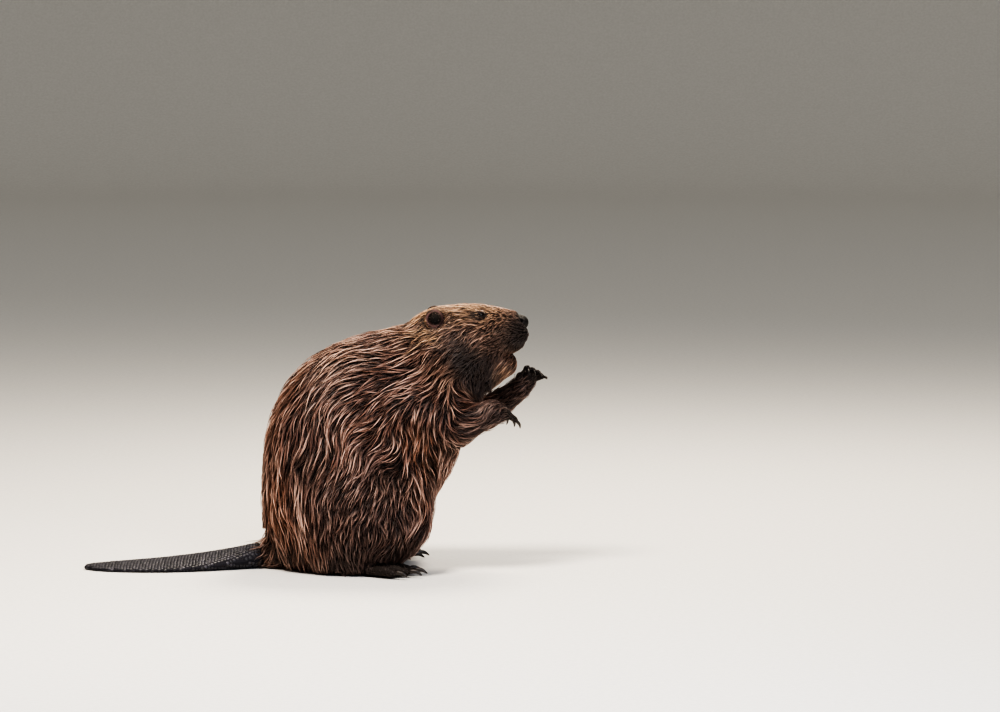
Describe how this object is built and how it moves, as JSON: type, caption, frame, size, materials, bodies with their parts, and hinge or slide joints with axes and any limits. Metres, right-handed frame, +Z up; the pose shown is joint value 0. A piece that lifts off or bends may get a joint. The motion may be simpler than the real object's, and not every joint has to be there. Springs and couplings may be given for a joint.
{
  "type": "beaver",
  "caption": "Still life-size Eurasian beaver sitting up on its haunches, forepaws raised towards the mouth, scaled paddle tail flat on the floor.",
  "frame": {"origin": "on the floor, under the middle of the animal's box", "axes": "+X the way the animal faces, +Y its left side, +Z up"},
  "size_m": [0.6914, 0.3074, 0.3968],
  "materials": {
    "body_fur": "coarse wet guard hair, brown",
    "face_fur": "short brown fur",
    "dark_fur": "short dark brown fur",
    "bare_skin": "dark bare skin, claws joined to the digits",
    "tail_scale": "dark slate scaled skin",
    "nose_skin": "damp black skin",
    "eye": "glossy dark eye",
    "enamel": "orange tooth enamel"
  },
  "bodies": {
    "root": {"head": "face_fur", "lower_jaw": "face_fur", "nose": "nose_skin", "incisors": "enamel", "neck": "body_fur", "trunk": "body_fur", "tail_root": "body_fur", "tail_blade": "tail_scale", "ear_right": "dark_fur", "eye_right": "eye", "upper_arm_right": "body_fur", "forearm_right": "dark_fur", "forepaw_right": "bare_skin", "thigh_right": "body_fur", "lower_leg_right": "body_fur", "hind_foot_right": "bare_skin", "ear_left": "dark_fur", "eye_left": "eye", "upper_arm_left": "body_fur", "forearm_left": "dark_fur", "forepaw_left": "bare_skin", "thigh_left": "body_fur", "lower_leg_left": "body_fur", "hind_foot_left": "bare_skin"}
  },
  "joints": []
}
